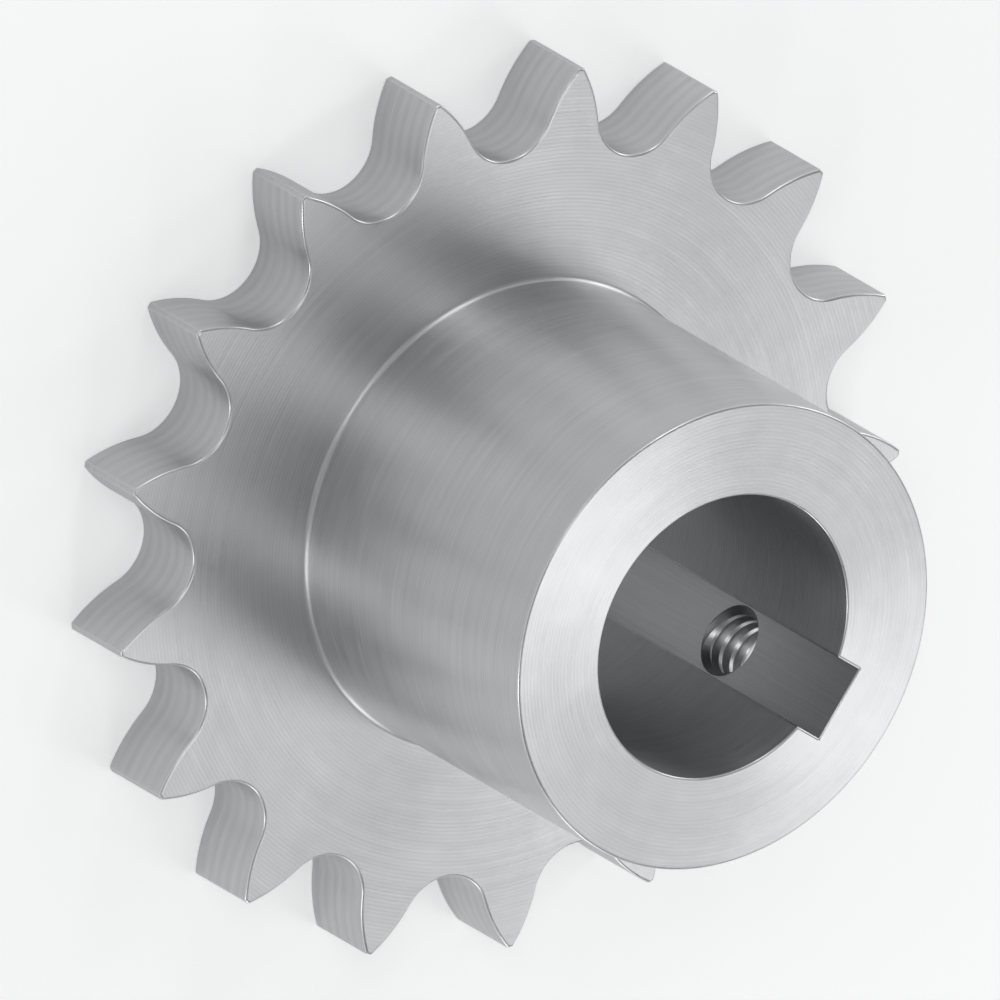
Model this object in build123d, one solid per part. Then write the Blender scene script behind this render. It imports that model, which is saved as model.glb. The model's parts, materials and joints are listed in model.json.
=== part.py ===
from build123d import *
from math import acos, atan2, cos, hypot, radians, sin, sqrt
import os

# Finished-bore sprocket for a half-inch roller chain. One steel piece: a toothed plate and a long hub turned from
# one bar, with cut teeth, a broached keyway and one tapped hole for a set screw over the keyway.
# Millimetres. Z runs along the bore towards the hub's free end, z = 0 is the plate's back face, the plate's
# front face carries the hub, and the keyway, the screw hole and one tooth gap lie on the +Y side.

# Chain
chain_pitch = 12.7
roller_diameter = 7.92
tooth_count = 17

# Tooth form: a round seat for the roller, then one convex flank on each side up to a narrow tip land
seat_radius = 0.505 * roller_diameter
seat_angle = 128.8
flank_radius = 13.2
tip_diameter = 75.0
plate_thickness = 7.3

# Turned body, bored for a fifteen-sixteenths shaft
hub_diameter = 39.3
hub_projection = 30.4
hub_root_fillet = 0.4
bore_diameter = 23.8125

# Keyway for a quarter-inch by three-sixteenths flat key, broached along the whole bore
key_width = 6.35
key_height = 4.7625
key_top_clearance = 0.127

# Hole for a quarter-inch coarse set screw: tap drill size, a countersink just over the thread's outside, and one at
# the keyway's floor that stops just short of the keyway's walls
tap_drill_diameter = 5.1054
thread_diameter = 6.35
countersink_margin = 0.3
inner_mouth_margin = 0.1
screw_from_hub_end = 15.7

# Every sharp edge of a flat end face is broken by this much
edge_break = 0.2

# How far a cutter runs past the surface that it leaves
overrun = 2.0

pitch_radius = chain_pitch / 2 / sin(radians(180 / tooth_count))
tip_radius = tip_diameter / 2
hub_radius = hub_diameter / 2
bore_radius = bore_diameter / 2
overall_length = plate_thickness + hub_projection
keyway_edge = sqrt(bore_radius**2 - (key_width / 2) ** 2)
keyway_floor = keyway_edge + key_height / 2 + key_top_clearance


def turned_blank():
    """Plate and hub as one revolved half section, bore through both and a tool radius at the hub's foot."""
    foot = (hub_radius, plate_thickness)
    section = Polyline(
        (bore_radius, 0),
        (tip_radius, 0),
        (tip_radius, plate_thickness),
        foot,
        (hub_radius, overall_length),
        (bore_radius, overall_length),
        close=True,
    )
    face = make_face(section)
    face = fillet(face.vertices().sort_by_distance(foot)[0], hub_root_fillet)
    return revolve(Plane.XZ * face, Axis.Z)


def tooth_gap():
    """Outline of one gap between two teeth, centred on +Y and running past the tips."""
    roller = Vector(0, pitch_radius)
    half = radians(seat_angle / 2)
    outward = Vector(sin(half), -cos(half))
    seat_end = roller + outward * seat_radius
    flank_centre = roller + outward * (seat_radius + flank_radius)

    reach = tip_radius + overrun
    centre_radius = hypot(flank_centre.X, flank_centre.Y)
    centre_angle = atan2(flank_centre.X, flank_centre.Y)
    span = acos((reach**2 + centre_radius**2 - flank_radius**2) / (2 * reach * centre_radius))
    flank_end = Vector(sin(centre_angle - span), cos(centre_angle - span)) * reach
    middle = ((seat_end - flank_centre) + (flank_end - flank_centre)).normalized()
    flank_middle = flank_centre + middle * flank_radius

    def mirrored(point):
        return Vector(-point.X, point.Y)

    outline = [
        ThreePointArc(mirrored(seat_end), (0, pitch_radius - seat_radius), seat_end),
        ThreePointArc(seat_end, flank_middle, flank_end),
        ThreePointArc(flank_end, (0, reach), mirrored(flank_end)),
        ThreePointArc(mirrored(flank_end), mirrored(flank_middle), mirrored(seat_end)),
    ]
    return make_face(outline)


def tooth_gaps():
    """All gaps, cut straight through the plate."""
    pattern = [Rot(0, 0, turn * 360 / tooth_count) * tooth_gap() for turn in range(tooth_count)]
    return [extrude(Pos(0, 0, -overrun) * gap, plate_thickness + 2 * overrun) for gap in pattern]


def keyway():
    """Slot with square corners along the whole bore, from inside the bore out to the keyway's floor."""
    length = overall_length + 2 * overrun
    slot = Box(key_width, keyway_floor, length, align=(Align.CENTER, Align.MIN, Align.MIN))
    return Pos(0, 0, -overrun) * slot


def broken_edges(body):
    """The body with the edges of its three flat faces chamfered, apart from the hub's foot."""
    back, front, hub_end = body.faces().filter_by(Axis.Z).sort_by(Axis.Z)
    edges = back.edges() + front.outer_wire().edges() + hub_end.edges()
    return chamfer(edges, edge_break)


def screw_hole():
    """Radial tap drill hole through the hub on the keyway side, countersunk at the keyway's floor and outside."""
    drill = tap_drill_diameter / 2
    inner_mouth = key_width / 2 - inner_mouth_margin
    outer_mouth = thread_diameter / 2 + countersink_margin
    outer_reach = sqrt(hub_radius**2 - outer_mouth**2)
    section = Polyline(
        (0, 0),
        (inner_mouth, 0),
        (inner_mouth, keyway_floor),
        (drill, keyway_floor + inner_mouth - drill),
        (drill, outer_reach - (outer_mouth - drill)),
        (outer_mouth + overrun, outer_reach + overrun),
        (0, outer_reach + overrun),
        close=True,
    )
    return Pos(0, 0, overall_length - screw_from_hub_end) * revolve(make_face(section), Axis.Y)


sprocket = turned_blank() - tooth_gaps() - keyway()
sprocket = broken_edges(sprocket) - screw_hole()

os.makedirs("parts", exist_ok=True)
export_step(sprocket, "parts/sprocket.step")
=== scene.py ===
import json
from math import acos, atan2, ceil, cos, pi, radians, sin, sqrt

import bmesh
import bpy
from mathutils import Matrix, Vector


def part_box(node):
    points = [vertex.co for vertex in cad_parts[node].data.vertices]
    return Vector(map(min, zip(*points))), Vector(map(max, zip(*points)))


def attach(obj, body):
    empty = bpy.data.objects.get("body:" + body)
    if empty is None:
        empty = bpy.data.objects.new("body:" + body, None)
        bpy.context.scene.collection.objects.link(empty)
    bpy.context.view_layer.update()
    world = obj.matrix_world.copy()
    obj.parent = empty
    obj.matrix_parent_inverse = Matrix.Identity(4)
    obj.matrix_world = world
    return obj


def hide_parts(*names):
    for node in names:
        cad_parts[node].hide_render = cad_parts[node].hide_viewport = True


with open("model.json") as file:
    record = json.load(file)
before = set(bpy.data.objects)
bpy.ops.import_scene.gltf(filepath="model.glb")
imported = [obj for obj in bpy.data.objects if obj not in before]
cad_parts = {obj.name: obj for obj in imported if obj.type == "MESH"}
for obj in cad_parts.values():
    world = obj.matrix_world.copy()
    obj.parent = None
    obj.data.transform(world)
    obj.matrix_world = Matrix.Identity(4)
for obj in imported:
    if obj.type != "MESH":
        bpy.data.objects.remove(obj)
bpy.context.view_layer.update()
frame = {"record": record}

# The sprocket's sizes are in millimetres, and MM turns them into metres
MM = 0.001

UP = Vector((0, 0, 1))
mounts = {mount["name"]: mount for mount in frame["record"]["mounts"]}

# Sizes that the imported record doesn't give
chain_pitch = 12.7
tooth_count = 17
seat_radius = 4.0
seat_half_angle = radians(64.4)
flank_radius = 13.2
tip_radius = 37.5
plate_thickness = 7.3
hub_radius = 19.65
hub_root_fillet = 0.4
edge_break = 0.2
keyway_half_width = 3.175
keyway_floor = 13.983
thread_pitch = 1.27
thread_root_radius = 3.16
countersink_radius = 3.475
inner_mouth_radius = 3.075

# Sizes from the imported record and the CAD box
bore_radius = mounts["bore"]["dims"]["r_mm"]
drill_radius = mounts["set_screw_hole"]["dims"]["r_mm"]
screw_height = mounts["set_screw_hole"]["pos_m"][2] / MM
overall_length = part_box("sprocket")[1].z / MM

# The circle on which the chain's rollers sit
pitch_radius = chain_pitch / 2 / sin(pi / tooth_count)

# Fine detail: how far the outlines' sharp corners are eased, and how wide a flat rim is inside each broken
# edge. The rim keeps the shading of the flat faces flat
corner_ease = 0.06
keyway_lip_ease = 0.12
flat_rim = 0.06

# How finely curves are divided, and how high a row of a straight wall is at most
edge_steps = 4
seat_steps = 14
flank_steps = 12
hub_steps = 288
bore_steps = 192
hole_steps = 96
row_height = 3.0

# Finishes, by their place in the sprocket's list of materials
FACED, TURNED, BORED, BROACHED, HOBBED, THREAD, COUNTERSUNK, EDGE = range(8)


# Objects

def add_object(name, data):
    """A new object in the scene."""
    made = bpy.data.objects.new(name, data)
    bpy.context.scene.collection.objects.link(made)
    return made


def closed_mesh(name, bm):
    """A mesh whose faces all look outward. It uses up the bmesh."""
    bmesh.ops.recalc_face_normals(bm, faces=bm.faces)
    mesh = bpy.data.meshes.new(name)
    bm.to_mesh(mesh)
    bm.free()
    return mesh


# Outlines. Each one is a closed list of points, with a list of the finishes from each point to the next

def eased(before, corner, after, reach):
    """Three points that round off a corner."""
    first = corner + (before - corner).normalized() * reach
    last = corner + (after - corner).normalized() * reach
    return [first, (first + corner * 2 + last) / 4, last]


def ease_reach(ease, offset):
    """A corner's round gets smaller where the edge break eats into it."""
    return ease * (1 - offset / edge_break / 2)


def arc(centre, radius, start, end, steps):
    """Points on an arc, both ends included, angles from +Y towards +X."""
    angles = [start + (end - start) * i / steps for i in range(steps + 1)]
    return [centre + Vector((sin(a), cos(a))) * radius for a in angles]


def half_gap(offset):
    """From the middle of a tooth's land to the bottom of the gap beside it, for a gap centred on +Y."""
    tip = tip_radius - offset
    flank = flank_radius - offset
    roller = Vector((0, pitch_radius))
    outward = Vector((sin(seat_half_angle), -cos(seat_half_angle)))
    centre = roller + outward * (seat_radius + flank_radius)
    span = acos((tip**2 + centre.length**2 - flank**2) / (2 * tip * centre.length))
    tip_angle = atan2(centre.x, centre.y) - span
    corner = Vector((sin(tip_angle), cos(tip_angle))) * tip
    land_angle = pi / tooth_count
    land = Vector((sin(land_angle), cos(land_angle))) * tip
    toward = corner - centre
    flank_start = atan2(toward.x, toward.y)
    flank_end = atan2(-outward.x, -outward.y)
    flank_points = arc(centre, flank, flank_start, flank_end, flank_steps)
    seat_start = atan2(outward.x, outward.y)
    seat_points = arc(roller, seat_radius + offset, seat_start, pi, seat_steps)
    points = [land] + eased(land, corner, flank_points[1], ease_reach(corner_ease, offset))
    points += flank_points[1:] + seat_points[1:]
    finishes = [TURNED, EDGE, EDGE] + [HOBBED] * (flank_steps + seat_steps)
    return points, finishes


def toothed_outline(offset):
    """The plate's outline, drawn in by an offset."""
    points, finishes = half_gap(offset)
    mirrored = [Vector((-p.x, p.y)) for p in points[-2::-1]]
    gap = points + mirrored[:-1]
    gap_finishes = finishes + finishes[::-1]
    outline = []
    for turn in range(tooth_count):
        spin = Matrix.Rotation(2 * pi * turn / tooth_count, 2)
        outline += [spin @ p for p in gap]
    return outline, gap_finishes * tooth_count


def keyed_bore_outline(offset):
    """The bore with its keyway on +Y, opened out by an offset."""
    radius = bore_radius + offset
    half = keyway_half_width + offset
    floor = keyway_floor + offset
    lip_y = sqrt(radius**2 - half**2)
    lip_angle = atan2(half, lip_y)
    bore = arc(Vector((0, 0)), radius, lip_angle, 2 * pi - lip_angle, bore_steps)
    right_lip, left_lip = bore[0], bore[-1]
    right_corner, left_corner = Vector((half, floor)), Vector((-half, floor))
    reach = ease_reach(keyway_lip_ease, offset)
    points = bore[1:-1]
    points += eased(bore[-2], left_lip, left_corner, reach)
    points += eased(left_lip, left_corner, right_corner, corner_ease + offset)
    points += eased(left_corner, right_corner, right_lip, corner_ease + offset)
    points += eased(right_corner, right_lip, bore[1], reach)
    # Between the lips' rounds are a wall, a rounded corner, the floor, a rounded corner and a wall
    keyway_finishes = [EDGE, EDGE] + [BROACHED] * 7 + [EDGE, EDGE]
    return points, [BORED] * (bore_steps - 1) + keyway_finishes + [BORED]


def round_outline(offset):
    """The hub's outline, drawn in by an offset."""
    points = arc(Vector((0, 0)), hub_radius - offset, 0, 2 * pi, hub_steps)[:-1]
    return points, [TURNED] * hub_steps


def quarter_round(height, reach, rise):
    """Levels of offset and height, round a quarter turn from a flat face to a wall.

    reach is the offset at the face, and rise is the height from the face to the wall.
    """
    angles = [pi / 2 * (1 - i / edge_steps) for i in range(edge_steps + 1)]
    return [(reach * (1 - cos(a)), height + rise * (1 - sin(a))) for a in angles]


def rounded_end(height, inward):
    """Levels from a flat rim over the broken edge to the wall. inward is +1 or -1, into the wall."""
    return [(edge_break + flat_rim, height)] + quarter_round(height, edge_break, inward * edge_break)


def rows_between(low, high):
    """Levels inside a straight wall, without its two ends."""
    count = ceil((high - low) / row_height)
    return [(0, low + (high - low) * i / count) for i in range(1, count)]


# Skin

class Skin:
    """Rings of points, joined by walls and closed by flat caps."""

    def __init__(self):
        self.bm = bmesh.new()

    def ring(self, points, height):
        return [self.bm.verts.new((p.x * MM, p.y * MM, height * MM)) for p in points]

    def band(self, lower, upper, finishes):
        count = len(lower)
        for i in range(count):
            j = (i + 1) % count
            face = self.bm.faces.new((lower[i], lower[j], upper[j], upper[i]))
            face.material_index = finishes[i]

    def wall(self, outline, levels):
        """Bands through levels of offset and height: flat rims, broken edges and the outline's own wall."""
        rings = []
        for offset, height in levels:
            points, finishes = outline(offset)
            rings.append(self.ring(points, height))
        for i in range(len(rings) - 1):
            (offset, height), (next_offset, next_height) = levels[i], levels[i + 1]
            if height == next_height:
                band_finishes = [FACED] * len(finishes)
            elif max(offset, next_offset) > 0:
                band_finishes = [EDGE] * len(finishes)
            else:
                band_finishes = finishes
            self.band(rings[i], rings[i + 1], band_finishes)
        return rings

    def cap(self, outer, inner):
        """A flat face between two rings."""
        edges = []
        for ring in (outer, inner):
            for i, vertex in enumerate(ring):
                edges.append(self.bm.edges.get((vertex, ring[i - 1])))
        made = bmesh.ops.triangle_fill(self.bm, edges=edges, use_beauty=True)
        for item in made["geom"]:
            if isinstance(item, bmesh.types.BMFace):
                item.material_index = FACED

    def to_piece(self, name):
        return add_object(name, closed_mesh(name, self.bm))


def blank():
    """The whole sprocket but for its screw hole."""
    skin = Skin()
    tooth_levels = rounded_end(0, 1) + rounded_end(plate_thickness, -1)[::-1]
    teeth = skin.wall(toothed_outline, tooth_levels)

    bore_rows = rows_between(edge_break, overall_length - edge_break)
    bore_levels = rounded_end(0, 1) + bore_rows + rounded_end(overall_length, -1)[::-1]
    bore = skin.wall(keyed_bore_outline, bore_levels)

    foot_levels = quarter_round(plate_thickness, -hub_root_fillet, hub_root_fillet)
    hub_rows = rows_between(plate_thickness + hub_root_fillet, overall_length - edge_break)
    hub_levels = foot_levels + hub_rows + rounded_end(overall_length, -1)[::-1]
    hub = skin.wall(round_outline, hub_levels)

    skin.cap(teeth[0], bore[0])
    skin.cap(teeth[-1], hub[0])
    skin.cap(hub[-1], bore[-1])
    return skin.to_piece("sprocket_body")


# Screw hole. Cutters lie along +Y, at the hole's height

# The thread's groove. Its widths lie along the hole and are shares of the pitch. Each round is such a share
# and a depth in millimetres
groove_width = 0.690
groove_root_width = 0.090
crest_round = (0.028, 0.03)
root_round = (0.032, 0.05)

# The groove starts this many turns before the keyway's floor. That puts the thread's crests where the
# drawing has its rings
thread_lead_in = 1.84

# How far the groove runs past the hub, the fans at its ends past the groove, and each cone past its mouth
thread_run_out = 0.2
fan_height = 0.5
outer_overrun = 1.0
inner_overrun = 0.05

# Points that the cuts leave closer than this are welded
weld_distance = 0.001

# The shading breaks where faces meet at more than this angle
sharp_angle = radians(32)


def cutter_point(radius, angle, reach):
    """A point from its radius and angle about the hole, and its reach from the bore's axis along the hole."""
    return Vector((radius * sin(angle), reach, screw_height + radius * cos(angle))) * MM


def groove_profile():
    """Corners of the groove, each as a share of the pitch along the hole and a radius."""
    root_start = (groove_width - groove_root_width) / 2
    half = [
        (0.0, drill_radius),
        (crest_round[0], drill_radius + crest_round[1]),
        (root_start - root_round[0], thread_root_radius - root_round[1]),
        (root_start, thread_root_radius),
    ]
    return half + [(groove_width - share, radius) for share, radius in reversed(half)]


def thread_cutter():
    """A right-hand helical surface with the groove's profile, closed by a fan at each end."""
    profile = groove_profile()
    start = keyway_floor - thread_pitch * thread_lead_in
    turns = ceil((hub_radius + thread_run_out - start) / thread_pitch)
    end = start + thread_pitch * (turns + 1)
    columns = hole_steps * turns
    bm = bmesh.new()

    def vertex(column, share, radius):
        angle = 2 * pi * column / hole_steps
        reach = start + thread_pitch * (column / hole_steps + share)
        return bm.verts.new(cutter_point(radius, angle, reach))

    # Columns of the groove, closed by the crest's points one turn further on
    grid = [[vertex(i, share, radius) for share, radius in profile] for i in range(columns + 1)]
    for i in range(columns + 1, columns + hole_steps + 1):
        grid.append([vertex(i, *profile[0])])
    for i, column in enumerate(grid[: columns + 1]):
        column.append(grid[i + hole_steps][0])
    for i in range(columns):
        for j in range(len(profile)):
            bm.faces.new((grid[i][j], grid[i + 1][j], grid[i + 1][j + 1], grid[i][j + 1]))

    # The fans over the two open ends
    low_loop = [grid[i][0] for i in range(hole_steps)] + grid[0][:0:-1]
    high_loop = grid[columns] + [grid[i][0] for i in range(columns + hole_steps - 1, columns, -1)]
    for loop, reach in ((low_loop, start - fan_height), (high_loop, end + fan_height)):
        apex = bm.verts.new(cutter_point(0, 0, reach))
        for i, corner in enumerate(loop):
            bm.faces.new((loop[i - 1], corner, apex))
    return bm


def cone_cutter(mouth_radius, mouth_reach, outward, overrun):
    """A 45 degree cone that narrows from a mouth into the hole, its facets half a step off the thread's.

    outward is +1 for a mouth that opens away from the bore's axis and -1 for one that opens towards it.
    """
    bm = bmesh.new()
    base_radius = mouth_radius + overrun
    base_reach = mouth_reach + outward * overrun
    angles = [2 * pi * (i + 0.5) / hole_steps for i in range(hole_steps)]
    base = [bm.verts.new(cutter_point(base_radius, angle, base_reach)) for angle in angles]
    apex = bm.verts.new(cutter_point(0, 0, mouth_reach - outward * mouth_radius))
    for i, corner in enumerate(base):
        bm.faces.new((base[i - 1], corner, apex))
    bm.faces.new(base)
    return bm


def cut(piece, bm, finish):
    """Takes a cutter's volume out of a piece. The cut faces get the finish."""
    for face in bm.faces:
        face.material_index = finish
    mesh = closed_mesh("cutter", bm)
    for material in piece.data.materials:
        mesh.materials.append(material)
    cutter = add_object("cutter", mesh)
    modifier = piece.modifiers.new("cut", "BOOLEAN")
    modifier.operation = "DIFFERENCE"
    modifier.solver = "EXACT"
    modifier.object = cutter
    graph = bpy.context.evaluated_depsgraph_get()
    result = bpy.data.meshes.new_from_object(piece.evaluated_get(graph))
    piece.modifiers.clear()
    piece.data = result
    bpy.data.objects.remove(cutter)


def clean_cuts(mesh):
    """Welds points that the cuts left very close, and ends the shading's blend at the thread's ends."""
    bm = bmesh.new()
    bm.from_mesh(mesh)
    bmesh.ops.remove_doubles(bm, verts=bm.verts, dist=weld_distance * MM)
    for edge in bm.edges:
        ends = {face.material_index for face in edge.link_faces}
        if THREAD in ends and len(ends) > 1:
            edge.smooth = False
    bm.to_mesh(mesh)
    bm.free()


# Materials

# Noise scales, in cells a metre. Each pair is for streaks, across the tool's run and along it. Where the tool
# runs round an axis, the second number is the radius of the circle that the noise is read on
round_streaks = (3000.0, 1.6)
broached_streaks = (3500.0, 60.0)
hobbed_streaks = (3500.0, 160.0)
uneven_feed_scale = 700.0
smudge_scale = 75.0
mottle_scale = 420.0

# How far each kind of unevenness moves the tone or the roughness, to either side
smudge_tone = 0.018
streak_roughness = 0.05
smudge_roughness = 0.035
mottle_roughness = 0.015

# The weakest feed line's height as a share of the strongest's
weakest_feed = 0.4

# The grey is slightly cool: its red and blue as shares of its green
red_share = 0.985
blue_share = 1.012


class Nodes:
    """Short calls for a material's nodes."""

    def __init__(self, tree):
        self.tree = tree

    def add(self, kind, **settings):
        node = self.tree.nodes.new(kind)
        for name, value in settings.items():
            setattr(node, name, value)
        return node

    def plug(self, socket, value):
        if isinstance(value, bpy.types.NodeSocket):
            self.tree.links.new(value, socket)
        else:
            socket.default_value = value

    def math(self, operation, *values):
        node = self.add("ShaderNodeMath", operation=operation)
        for socket, value in zip(node.inputs, values):
            self.plug(socket, value)
        return node.outputs[0]

    def times(self, value, factor):
        return self.math("MULTIPLY", value, factor)

    def vector(self, operation, *values):
        node = self.add("ShaderNodeVectorMath", operation=operation)
        for socket, value in zip(node.inputs, values):
            self.plug(socket, value)
        return node.outputs["Value" if operation == "LENGTH" else "Vector"]

    def split(self, vector):
        node = self.add("ShaderNodeSeparateXYZ")
        self.plug(node.inputs[0], vector)
        return node.outputs

    def combine(self, x, y, z):
        node = self.add("ShaderNodeCombineXYZ")
        for socket, value in zip(node.inputs, (x, y, z)):
            self.plug(socket, value)
        return node.outputs[0]

    def noise(self, vector, scale, detail=2.0, roughness=0.5):
        node = self.add("ShaderNodeTexNoise")
        self.plug(node.inputs["Vector"], vector)
        node.inputs["Scale"].default_value = scale
        node.inputs["Detail"].default_value = detail
        node.inputs["Roughness"].default_value = roughness
        return node.outputs["Fac"]

    def spread(self, noise, low, high):
        """Stretches a noise, which lies mostly between 0.25 and 0.75, to a range."""
        node = self.add("ShaderNodeMapRange")
        for name, number in (("From Min", 0.25), ("From Max", 0.75), ("To Min", low), ("To Max", high)):
            node.inputs[name].default_value = number
        self.plug(node.inputs["Value"], noise)
        return node.outputs["Result"]

    def sway(self, noise, middle, reach):
        """Stretches a noise to a range about a middle value."""
        return self.spread(noise, middle - reach, middle + reach)


def new_material(name):
    """A material, the calls for its nodes, and its shader."""
    material = bpy.data.materials.new(name)
    material.use_nodes = True
    return material, Nodes(material.node_tree), material.node_tree.nodes["Principled BSDF"]


def tool_marks(nodes, marks, place, normal):
    """The tool's direction, the distance across its marks, the angle about their axis, the place for streaks.

    marks is "faced" or "turned" for work turned about the bore, "drilled" for what was cut about the screw
    hole, "hobbed" for marks along the teeth's outline, and "broached" for marks along the bore.
    """
    x, y, z = nodes.split(place)
    if marks == "broached":
        across, along = broached_streaks
        streak_place = nodes.combine(nodes.times(x, across), nodes.times(y, across), nodes.times(z, along))
        return UP, x, 0.0, streak_place
    if marks == "hobbed":
        across, along = hobbed_streaks
        streak_place = nodes.combine(nodes.times(x, along), nodes.times(y, along), nodes.times(z, across))
        return nodes.vector("CROSS_PRODUCT", UP, normal), z, nodes.math("ARCTAN2", y, x), streak_place
    if marks == "drilled":
        side = nodes.math("SUBTRACT", z, screw_height * MM)
        distance, axis, radial = y, Vector((0, 1, 0)), nodes.combine(x, 0.0, side)
    else:
        side = y
        distance, axis, radial = z, UP, nodes.combine(x, y, 0.0)
    if marks == "faced":
        distance = nodes.vector("LENGTH", radial)
    turn = nodes.math("ARCTAN2", side, x)
    across, along = round_streaks
    streak_place = nodes.combine(
        nodes.times(distance, across),
        nodes.times(nodes.math("COSINE", turn), along),
        nodes.times(nodes.math("SINE", turn), along),
    )
    return nodes.vector("CROSS_PRODUCT", axis, radial), distance, turn, streak_place


def steel(name, marks, tone, roughness, anisotropy, feed, feed_depth, painted_feed_shade, streak_depth, streak_tone):
    """Bare machined steel. The feed and the marks' depths are in millimetres, and their tones are shares. The
    feed lines' tone paints shade into their grooves and a highlight onto their crests.
    """
    material, nodes, shader = new_material(name)
    place = nodes.add("ShaderNodeTexCoord").outputs["Object"]
    normal = nodes.add("ShaderNodeNewGeometry").outputs["Normal"]
    tool_run, distance, turn, streak_place = tool_marks(nodes, marks, place, normal)

    streaks = nodes.noise(streak_place, 1.0, detail=5.0, roughness=0.65)
    smudges = nodes.noise(place, smudge_scale, detail=3.0, roughness=0.55)
    mottle = nodes.noise(place, mottle_scale)
    feed_lines = nodes.math("SINE", nodes.math("ADD", nodes.times(distance, 2 * pi / (feed * MM)), turn))
    unevenness = nodes.noise(nodes.combine(nodes.times(distance, uneven_feed_scale), 0.0, 0.0), 1.0)
    ridges = nodes.math("MULTIPLY", feed_lines, nodes.spread(unevenness, weakest_feed, 1.0))

    # Colour: steel grey, with streaks along the tool's run, soft smudges, and feed lines with painted shade
    # in their grooves and a painted highlight on their crests
    level = nodes.math(
        "ADD",
        nodes.sway(streaks, tone, tone * streak_tone),
        # The feed lines' share of the colour is painted shade in their grooves and a painted highlight on
        # their crests
        nodes.math("ADD", nodes.sway(smudges, 0, smudge_tone), nodes.times(ridges, tone * painted_feed_shade)),
    )
    colour = nodes.combine(nodes.times(level, red_share), level, nodes.times(level, blue_share))
    nodes.plug(shader.inputs["Base Color"], colour)
    shader.inputs["Metallic"].default_value = 1.0

    rough = nodes.math(
        "ADD",
        nodes.sway(streaks, roughness, streak_roughness),
        nodes.math("ADD", nodes.sway(smudges, 0, smudge_roughness), nodes.sway(mottle, 0, mottle_roughness)),
    )
    nodes.plug(shader.inputs["Roughness"], rough)
    shader.inputs["Anisotropic"].default_value = anisotropy
    nodes.plug(shader.inputs["Tangent"], nodes.vector("CROSS_PRODUCT", normal, tool_run))

    # Relief: the feed lines and the finer streaks
    height = nodes.math("ADD", nodes.times(streaks, streak_depth), nodes.times(ridges, feed_depth))
    bump = nodes.add("ShaderNodeBump")
    bump.inputs["Strength"].default_value = 1.0
    bump.inputs["Distance"].default_value = MM
    nodes.plug(bump.inputs["Height"], height)
    nodes.plug(shader.inputs["Normal"], bump.outputs["Normal"])
    return material


def finish_materials():
    """One material for each finish, in the order of their numbers."""
    return [
        steel(
            "steel_faced", "faced", tone=0.63, roughness=0.34, anisotropy=0.75,
            feed=0.32, feed_depth=0.0026, painted_feed_shade=0.03, streak_depth=0.010, streak_tone=0.06,
        ),
        steel(
            "steel_turned", "turned", tone=0.61, roughness=0.38, anisotropy=0.75,
            feed=0.30, feed_depth=0.0030, painted_feed_shade=0.06, streak_depth=0.010, streak_tone=0.09,
        ),
        steel(
            "steel_bored", "turned", tone=0.56, roughness=0.38, anisotropy=0.70,
            feed=0.34, feed_depth=0.0040, painted_feed_shade=0.07, streak_depth=0.012, streak_tone=0.10,
        ),
        steel(
            "steel_broached", "broached", tone=0.68, roughness=0.34, anisotropy=0.60,
            feed=0.50, feed_depth=0.0, painted_feed_shade=0.0, streak_depth=0.014, streak_tone=0.11,
        ),
        steel(
            "steel_hobbed", "hobbed", tone=0.61, roughness=0.34, anisotropy=0.55,
            feed=1.25, feed_depth=0.0100, painted_feed_shade=0.05, streak_depth=0.010, streak_tone=0.07,
        ),
        steel(
            "steel_thread", "drilled", tone=0.60, roughness=0.34, anisotropy=0.40,
            feed=0.11, feed_depth=0.0008, painted_feed_shade=0.02, streak_depth=0.004, streak_tone=0.05,
        ),
        steel(
            "steel_countersunk", "drilled", tone=0.62, roughness=0.32, anisotropy=0.60,
            feed=0.12, feed_depth=0.0015, painted_feed_shade=0.03, streak_depth=0.004, streak_tone=0.05,
        ),
        steel(
            "steel_edge", "hobbed", tone=0.66, roughness=0.30, anisotropy=0.0,
            feed=0.10, feed_depth=0.0, painted_feed_shade=0.0, streak_depth=0.002, streak_tone=0.04,
        ),
    ]


def build_sprocket():
    """The blank with its finishes, its screw hole and its shading."""
    piece = blank()
    for material in finish_materials():
        piece.data.materials.append(material)
    mouth_reach = sqrt(hub_radius**2 - countersink_radius**2)
    cut(piece, thread_cutter(), THREAD)
    cut(piece, cone_cutter(countersink_radius, mouth_reach, 1, outer_overrun), COUNTERSUNK)
    cut(piece, cone_cutter(inner_mouth_radius, keyway_floor, -1, inner_overrun), COUNTERSUNK)
    piece.data.shade_smooth()
    piece.data.set_sharp_from_angle(angle=sharp_angle)
    clean_cuts(piece.data)
    weighted = piece.modifiers.new("weighted_normals", "WEIGHTED_NORMAL")
    weighted.keep_sharp = True
    weighted.weight = 100
    return piece


sprocket = build_sprocket()
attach(sprocket, "root")
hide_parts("sprocket")


# Camera

# The drawing is a parallel projection, tilted about X by one angle and rolled by another. The centre of the
# plate's front face is at one of its pixels
image_size = 1000
pixels_per_mm = 12.549
tilt = radians(40.05)
roll = radians(30.05)
plate_centre_pixel = (510.76, 513.92)

# Distances in metres
camera_distance = 0.5
clip_start = 0.01
clip_end = 10


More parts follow.
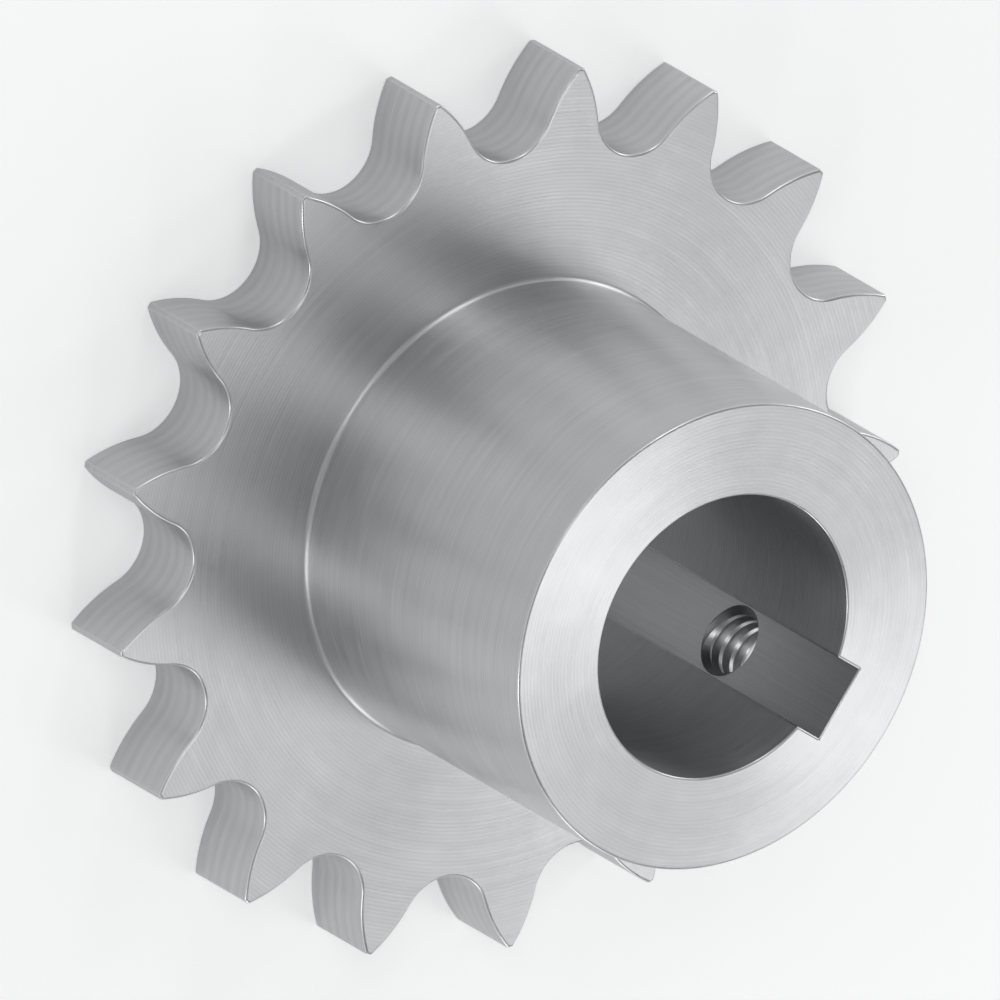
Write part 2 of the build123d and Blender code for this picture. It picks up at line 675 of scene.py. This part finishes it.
def place_camera():
    """The drawing's own view."""
    back = Vector((0, -sin(tilt), cos(tilt)))
    across = Vector((0, cos(tilt), sin(tilt)))
    right = across * cos(roll) - Vector((sin(roll), 0, 0))
    up = across * -sin(roll) - Vector((cos(roll), 0, 0))
    pixel = MM / pixels_per_mm
    plate_centre = Vector((0, 0, plate_thickness * MM))
    middle = plate_centre - right * (plate_centre_pixel[0] - image_size / 2) * pixel
    middle += up * (plate_centre_pixel[1] - image_size / 2) * pixel
    data = bpy.data.cameras.new("camera")
    data.type = "ORTHO"
    data.ortho_scale = image_size * pixel
    data.clip_start = clip_start
    data.clip_end = clip_end
    camera = add_object("camera", data)
    turn = Matrix((right, up, back)).transposed().to_4x4()
    camera.matrix_world = Matrix.Translation(middle + back * camera_distance) @ turn
    bpy.context.scene.camera = camera


place_camera()


# Studio. Lengths are in metres

floor_half_side = 2.5
floor_grey = 0.93

# How much paler the floor looks to the camera, and in the steel, than its light makes it
floor_lift = 0.33
mirrored_lift = 0.14

# What the lamps face
lamp_target = Vector((0, 0, 0.015))

# The room's colours, each with its height: the horizon is at 0 and straight up is at 1
sky = (
    (0.12, (0.93, 0.93, 0.93)),
    (0.4, (0.26, 0.26, 0.265)),
    (0.8, (0.24, 0.245, 0.25)),
)


def floor():
    """A pale floor under the sprocket's back face."""
    mesh = bpy.data.meshes.new("floor")
    half = floor_half_side
    corners = [(-half, -half, 0), (half, -half, 0), (half, half, 0), (-half, half, 0)]
    mesh.from_pydata(corners, [], [(0, 1, 2, 3)])
    material, nodes, shader = new_material("floor_pale")
    shader.inputs["Base Color"].default_value = (floor_grey, floor_grey, floor_grey, 1)
    shader.inputs["Roughness"].default_value = 0.9
    shader.inputs["Specular IOR Level"].default_value = 0.1
    ray = nodes.add("ShaderNodeLightPath").outputs
    seen = nodes.times(ray["Is Camera Ray"], floor_lift)
    mirrored = nodes.times(ray["Is Glossy Ray"], mirrored_lift)
    shader.inputs["Emission Color"].default_value = (1, 1, 1, 1)
    nodes.plug(shader.inputs["Emission Strength"], nodes.math("ADD", seen, mirrored))
    mesh.materials.append(material)
    piece = add_object("floor", mesh)


def softbox(name, azimuth, elevation, distance, width, height, radiance):
    """A soft lamp that faces the sprocket. Azimuth runs from +X towards +Y."""
    data = bpy.data.lights.new(name, "AREA")
    data.shape = "RECTANGLE"
    data.size = width
    data.size_y = height
    data.energy = radiance * pi * width * height
    lamp = add_object(name, data)
    turn, rise = radians(azimuth), radians(elevation)
    toward = Vector((cos(turn) * cos(rise), sin(turn) * cos(rise), sin(rise)))
    lamp.location = lamp_target + toward * distance
    lamp.rotation_mode = "QUATERNION"
    lamp.rotation_quaternion = (-toward).to_track_quat("-Z", "Y")
    lamp.visible_camera = False


def lamps():
    """A strip that the flat faces mirror to the camera, a soft top, a key and four strips for the sides."""
    softbox("rear_strip", azimuth=90, elevation=57, distance=0.50, width=0.14, height=0.62, radiance=1.4)
    softbox("top_box", azimuth=270, elevation=89.5, distance=0.60, width=0.40, height=0.40, radiance=0.5)
    softbox("key_box", azimuth=262, elevation=46, distance=0.60, width=0.18, height=0.18, radiance=2.6)
    for side in (30, 150, 210, 330):
        name = f"side_strip_{side}"
        softbox(name, azimuth=side, elevation=20, distance=0.50, width=0.12, height=0.30, radiance=2.4)


def studio_world():
    """A pale room: white near the horizon, grey overhead."""
    world = bpy.data.worlds.new("studio")
    world.use_nodes = True
    nodes = Nodes(world.node_tree)
    background = world.node_tree.nodes["Background"]
    direction = nodes.add("ShaderNodeTexCoord").outputs["Generated"]
    ramp = nodes.add("ShaderNodeValToRGB")
    nodes.plug(ramp.inputs["Fac"], nodes.split(direction)[2])
    stops = ramp.color_ramp.elements
    for height, colour in sky:
        stops.new(height).color = (*colour, 1)
    stops.remove(stops[-1])
    stops.remove(stops[0])
    nodes.plug(background.inputs["Color"], ramp.outputs["Color"])
    bpy.context.scene.world = world


floor()
studio_world()
lamps()

bpy.context.scene.view_settings.view_transform = "Standard"
